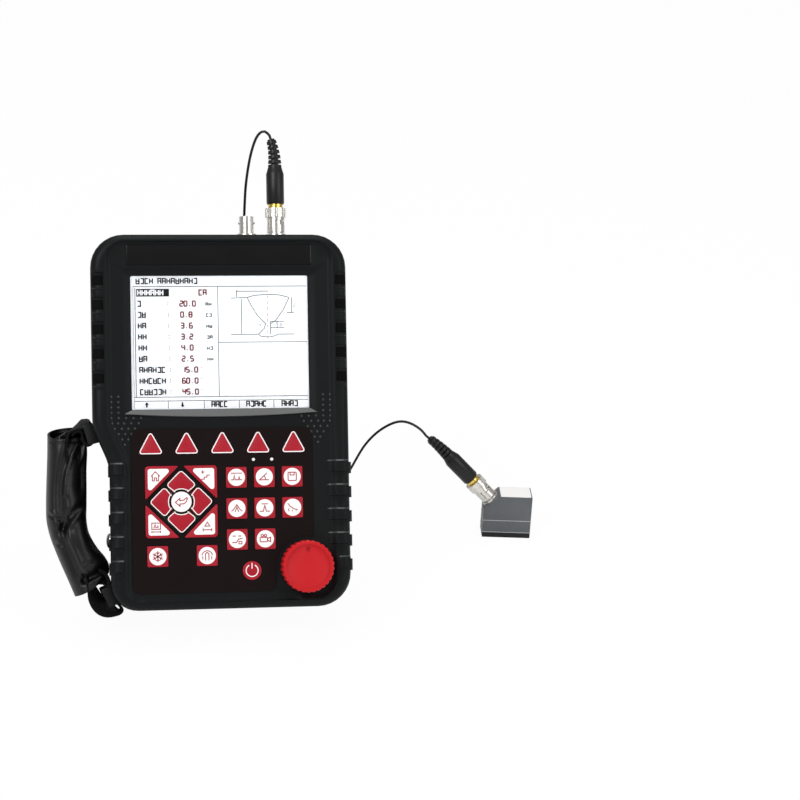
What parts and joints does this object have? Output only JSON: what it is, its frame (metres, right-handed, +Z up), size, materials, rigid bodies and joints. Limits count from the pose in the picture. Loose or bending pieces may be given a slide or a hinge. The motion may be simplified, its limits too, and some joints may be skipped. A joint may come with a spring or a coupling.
{
  "type": "ultrasonic flaw detector",
  "caption": "Hand-held ultrasonic flaw detector with screen, keypad, red knob, hand strap, rear stand and an angle-beam probe on its lead.",
  "frame": {"origin": "on the floor under the middle of the unit, its strap and its open stand, the lead and probe left out", "axes": "+Z up, -Y towards the user who reads the screen, +X to the right as the user sees it"},
  "size_m": [0.3518, 0.2362, 0.3014],
  "materials": {
    "key_red": "satin moulded keys with white marks",
    "housing": "fine-grained charcoal moulding",
    "seal": "matte gasket",
    "strip": "gloss black",
    "window": "clear window",
    "display": "white picture with dark figures",
    "overlay": "satin dark film",
    "board": "solder mask",
    "screw_steel": "machined",
    "nickel": "nickel plate",
    "insulator": "white dielectric",
    "battery": "shrink sleeve",
    "stand_paint": "black powder coat",
    "lug_black": "black",
    "webbing": "woven webbing",
    "leather": "shiny black leather",
    "lamp": "clear lamp",
    "foot_rubber": "matte rubber",
    "knob_red": "satin red",
    "cord_black": "smooth jacket",
    "tie_black": "matte tie",
    "sleeve_black": "moulded sleeve",
    "gold": "gilt",
    "probe_grey": "grey case with a white top",
    "sole_black": "dark plastic"
  },
  "bodies": {
    "unit": {"front_housing": "housing", "rear_housing": "housing", "battery_cover": "housing", "housing_seal": "seal", "name_strip": "strip", "display_window": "window", "lcd_panel": "display", "keypad_overlay": "overlay", "keypad_board": "board", "main_board": "board", "housing_screws": "screw_steel", "stand_pins": "screw_steel", "encoder": "screw_steel", "input_sockets": "nickel", "probe_socket": "nickel", "socket_insulators": "insulator", "battery_pack": "battery", "strap_lugs": "lug_black", "hand_strap": "webbing", "strap_pad": "leather", "indicator_lights": "lamp", "rubber_feet": "foot_rubber", "lead": "cord_black", "lead_coil": "cord_black", "lead_to_probe": "cord_black", "coil_tie": "tie_black", "plug_sleeves": "sleeve_black", "plug_ferrules": "gold", "probe_case": "probe_grey", "probe_wedge": "sole_black"},
    "stand": {"stand": "stand_paint"},
    "knob": {"knob": "knob_red", "encoder_shaft": "screw_steel"},
    "unit_ring": {"unit_plug_ring": "nickel"},
    "probe_ring": {"probe_plug_ring": "nickel"},
    "key_soft_1": {"key_soft_1": "key_red"},
    "key_soft_2": {"key_soft_2": "key_red"},
    "key_soft_3": {"key_soft_3": "key_red"},
    "key_soft_4": {"key_soft_4": "key_red"},
    "key_soft_5": {"key_soft_5": "key_red"},
    "key_home": {"key_home": "key_red"},
    "key_gate": {"key_gate": "key_red"},
    "key_range": {"key_range": "key_red"},
    "key_gain": {"key_gain": "key_red"},
    "key_up": {"key_up": "key_red"},
    "key_left": {"key_left": "key_red"},
    "key_down": {"key_down": "key_red"},
    "key_right": {"key_right": "key_red"},
    "key_enter": {"key_enter": "key_red"},
    "key_function_1": {"key_function_1": "key_red"},
    "key_function_2": {"key_function_2": "key_red"},
    "key_function_3": {"key_function_3": "key_red"},
    "key_function_4": {"key_function_4": "key_red"},
    "key_function_5": {"key_function_5": "key_red"},
    "key_function_6": {"key_function_6": "key_red"},
    "key_function_7": {"key_function_7": "key_red"},
    "key_function_8": {"key_function_8": "key_red"},
    "key_freeze": {"key_freeze": "key_red"},
    "key_echo": {"key_echo": "key_red"},
    "key_power": {"key_power": "key_red"}
  },
  "joints": [
    {"name": "stand_hinge", "type": "hinge", "parent": "unit", "child": "stand", "pos_m": [0.01395, 0.04476, 0.13343], "axis": [1, 0, 0], "range_deg": [-40, 0]},
    {"name": "knob_turn", "type": "hinge", "parent": "unit", "child": "knob", "pos_m": [0.06775, -0.0656, 0.04962], "axis": [0, -0.9063, 0.4226], "continuous": true},
    {"name": "unit_ring_turn", "type": "hinge", "parent": "unit", "child": "unit_ring", "pos_m": [0.05475, 0.05548, 0.24539], "axis": [0, 0.4226, 0.9063], "range_deg": [0, 90]},
    {"name": "probe_ring_turn", "type": "hinge", "parent": "unit", "child": "probe_ring", "pos_m": [0.22231, 0.08045, 0.0265], "axis": [-0.7018, 0.0862, 0.7071], "range_deg": [0, 90]},
    {"name": "key_soft_1_travel", "type": "slide", "parent": "unit", "child": "key_soft_1", "axis": [0, 0.9063, -0.4226], "range_m": [0, 0.0008], "stiffness_N_per_m": 500, "springref_m": -0.0003},
    {"name": "key_soft_2_travel", "type": "slide", "parent": "unit", "child": "key_soft_2", "axis": [0, 0.9063, -0.4226], "range_m": [0, 0.0008], "stiffness_N_per_m": 500, "springref_m": -0.0003},
    {"name": "key_soft_3_travel", "type": "slide", "parent": "unit", "child": "key_soft_3", "axis": [0, 0.9063, -0.4226], "range_m": [0, 0.0008], "stiffness_N_per_m": 500, "springref_m": -0.0003},
    {"name": "key_soft_4_travel", "type": "slide", "parent": "unit", "child": "key_soft_4", "axis": [0, 0.9063, -0.4226], "range_m": [0, 0.0008], "stiffness_N_per_m": 500, "springref_m": -0.0003},
    {"name": "key_soft_5_travel", "type": "slide", "parent": "unit", "child": "key_soft_5", "axis": [0, 0.9063, -0.4226], "range_m": [0, 0.0008], "stiffness_N_per_m": 500, "springref_m": -0.0003},
    {"name": "key_home_travel", "type": "slide", "parent": "unit", "child": "key_home", "axis": [0, 0.9063, -0.4226], "range_m": [0, 0.0008], "stiffness_N_per_m": 500, "springref_m": -0.0003},
    {"name": "key_gate_travel", "type": "slide", "parent": "unit", "child": "key_gate", "axis": [0, 0.9063, -0.4226], "range_m": [0, 0.0008], "stiffness_N_per_m": 500, "springref_m": -0.0003},
    {"name": "key_range_travel", "type": "slide", "parent": "unit", "child": "key_range", "axis": [0, 0.9063, -0.4226], "range_m": [0, 0.0008], "stiffness_N_per_m": 500, "springref_m": -0.0003},
    {"name": "key_gain_travel", "type": "slide", "parent": "unit", "child": "key_gain", "axis": [0, 0.9063, -0.4226], "range_m": [0, 0.0008], "stiffness_N_per_m": 500, "springref_m": -0.0003},
    {"name": "key_up_travel", "type": "slide", "parent": "unit", "child": "key_up", "axis": [0, 0.9063, -0.4226], "range_m": [0, 0.0008], "stiffness_N_per_m": 500, "springref_m": -0.0003},
    {"name": "key_left_travel", "type": "slide", "parent": "unit", "child": "key_left", "axis": [0, 0.9063, -0.4226], "range_m": [0, 0.0008], "stiffness_N_per_m": 500, "springref_m": -0.0003},
    {"name": "key_down_travel", "type": "slide", "parent": "unit", "child": "key_down", "axis": [0, 0.9063, -0.4226], "range_m": [0, 0.0008], "stiffness_N_per_m": 500, "springref_m": -0.0003},
    {"name": "key_right_travel", "type": "slide", "parent": "unit", "child": "key_right", "axis": [0, 0.9063, -0.4226], "range_m": [0, 0.0008], "stiffness_N_per_m": 500, "springref_m": -0.0003},
    {"name": "key_enter_travel", "type": "slide", "parent": "unit", "child": "key_enter", "axis": [0, 0.9063, -0.4226], "range_m": [0, 0.0008], "stiffness_N_per_m": 500, "springref_m": -0.0003},
    {"name": "key_function_1_travel", "type": "slide", "parent": "unit", "child": "key_function_1", "axis": [0, 0.9063, -0.4226], "range_m": [0, 0.0008], "stiffness_N_per_m": 500, "springref_m": -0.0003},
    {"name": "key_function_2_travel", "type": "slide", "parent": "unit", "child": "key_function_2", "axis": [0, 0.9063, -0.4226], "range_m": [0, 0.0008], "stiffness_N_per_m": 500, "springref_m": -0.0003},
    {"name": "key_function_3_travel", "type": "slide", "parent": "unit", "child": "key_function_3", "axis": [0, 0.9063, -0.4226], "range_m": [0, 0.0008], "stiffness_N_per_m": 500, "springref_m": -0.0003},
    {"name": "key_function_4_travel", "type": "slide", "parent": "unit", "child": "key_function_4", "axis": [0, 0.9063, -0.4226], "range_m": [0, 0.0008], "stiffness_N_per_m": 500, "springref_m": -0.0003},
    {"name": "key_function_5_travel", "type": "slide", "parent": "unit", "child": "key_function_5", "axis": [0, 0.9063, -0.4226], "range_m": [0, 0.0008], "stiffness_N_per_m": 500, "springref_m": -0.0003},
    {"name": "key_function_6_travel", "type": "slide", "parent": "unit", "child": "key_function_6", "axis": [0, 0.9063, -0.4226], "range_m": [0, 0.0008], "stiffness_N_per_m": 500, "springref_m": -0.0003},
    {"name": "key_function_7_travel", "type": "slide", "parent": "unit", "child": "key_function_7", "axis": [0, 0.9063, -0.4226], "range_m": [0, 0.0008], "stiffness_N_per_m": 500, "springref_m": -0.0003},
    {"name": "key_function_8_travel", "type": "slide", "parent": "unit", "child": "key_function_8", "axis": [0, 0.9063, -0.4226], "range_m": [0, 0.0008], "stiffness_N_per_m": 500, "springref_m": -0.0003},
    {"name": "key_freeze_travel", "type": "slide", "parent": "unit", "child": "key_freeze", "axis": [0, 0.9063, -0.4226], "range_m": [0, 0.0008], "stiffness_N_per_m": 500, "springref_m": -0.0003},
    {"name": "key_echo_travel", "type": "slide", "parent": "unit", "child": "key_echo", "axis": [0, 0.9063, -0.4226], "range_m": [0, 0.0008], "stiffness_N_per_m": 500, "springref_m": -0.0003},
    {"name": "key_power_travel", "type": "slide", "parent": "unit", "child": "key_power", "axis": [0, 0.9063, -0.4226], "range_m": [0, 0.0008], "stiffness_N_per_m": 500, "springref_m": -0.0003}
  ]
}
